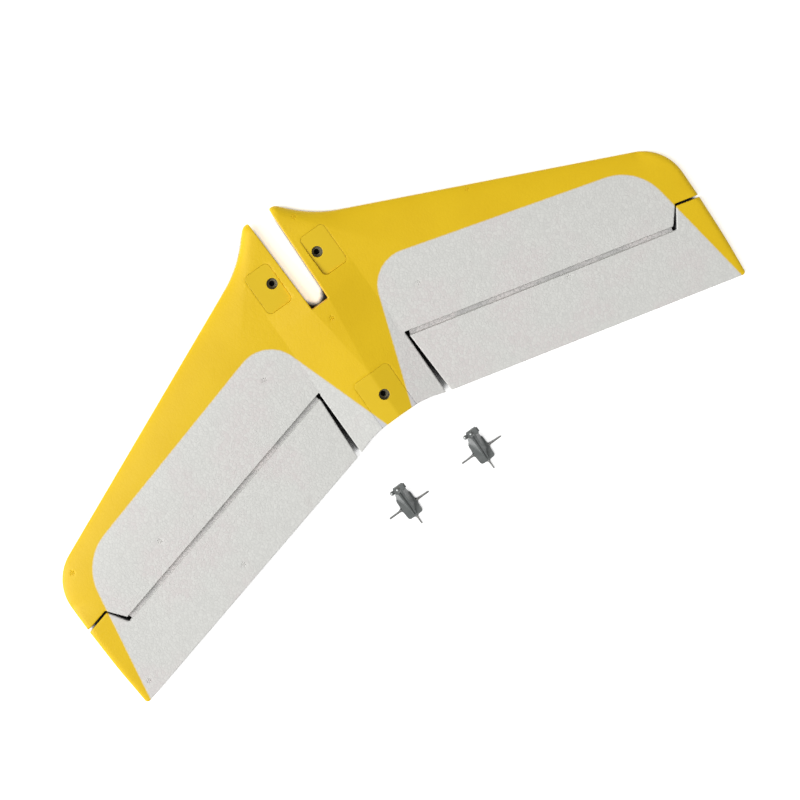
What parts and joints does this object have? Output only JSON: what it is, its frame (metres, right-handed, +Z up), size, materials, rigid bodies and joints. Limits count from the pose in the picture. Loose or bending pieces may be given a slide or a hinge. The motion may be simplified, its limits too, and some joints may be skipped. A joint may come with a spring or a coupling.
{
  "type": "model aeroplane tailplane",
  "caption": "Swept foam tailplane for a radio-controlled model, with two hinged elevators, a fin slot, screw mounts and loose control horns.",
  "frame": {"origin": "on the plane of the seat under the centre section, at the middle of the whole row seen from above", "axes": "+X spanwise to the right, +Y forwards to the nose, +Z up"},
  "size_m": [0.434, 0.2006, 0.014],
  "materials": {
    "painted_foam": "satin paint over moulded bead foam",
    "painted_plate": "satin paint",
    "white_foam": "bare moulded bead foam",
    "hinge_foam": "thin closed-cell foam web",
    "grey_bush": "moulded plastic",
    "carbon": "pultruded carbon rod and strip",
    "horn_nylon": "moulded grey nylon",
    "steel_wire": "drawn wire",
    "bright_metal": "turned and plated"
  },
  "bodies": {
    "tailplane": {"fixed_panel": "painted_foam", "front_left_plate": "painted_plate", "front_left_bush": "grey_bush", "front_right_plate": "painted_plate", "front_right_bush": "grey_bush", "rear_plate": "painted_plate", "rear_bush": "grey_bush", "main_spar": "carbon", "left_hinge_web": "hinge_foam", "left_panel_strip": "carbon", "right_hinge_web": "hinge_foam", "right_panel_strip": "carbon"},
    "left_elevator": {"left_elevator": "white_foam", "left_elevator_strip": "carbon"},
    "right_elevator": {"right_elevator": "white_foam", "right_elevator_strip": "carbon"},
    "left_horn": {"left_horn_body": "horn_nylon", "left_horn_cross_rod": "steel_wire", "left_horn_tail_rod": "steel_wire", "left_horn_ball_stud": "bright_metal", "left_horn_nut": "bright_metal", "left_horn_clamp_screw": "bright_metal"},
    "right_horn": {"right_horn_body": "horn_nylon", "right_horn_cross_rod": "steel_wire", "right_horn_tail_rod": "steel_wire", "right_horn_ball_stud": "bright_metal", "right_horn_nut": "bright_metal", "right_horn_clamp_screw": "bright_metal"}
  },
  "joints": [
    {"name": "left_elevator_hinge", "type": "hinge", "parent": "tailplane", "child": "left_elevator", "pos_m": [-0.11, -0.02316, 0.005], "axis": [-0.9697, -0.2445, 0], "range_deg": [-25, 25], "stiffness_Nm_per_rad": 0.02, "deforming": ["left_hinge_web"]},
    {"name": "right_elevator_hinge", "type": "hinge", "parent": "tailplane", "child": "right_elevator", "pos_m": [0.11, -0.02316, 0.005], "axis": [-0.9697, 0.2445, 0], "range_deg": [-25, 25], "stiffness_Nm_per_rad": 0.02, "deforming": ["right_hinge_web"]},
    {"name": "left_horn_lift", "type": "slide", "parent": "tailplane", "child": "left_horn", "axis": [0, 0, 1], "range_m": [0, 0.04]},
    {"name": "right_horn_lift", "type": "slide", "parent": "tailplane", "child": "right_horn", "axis": [0, 0, 1], "range_m": [0, 0.04]}
  ]
}
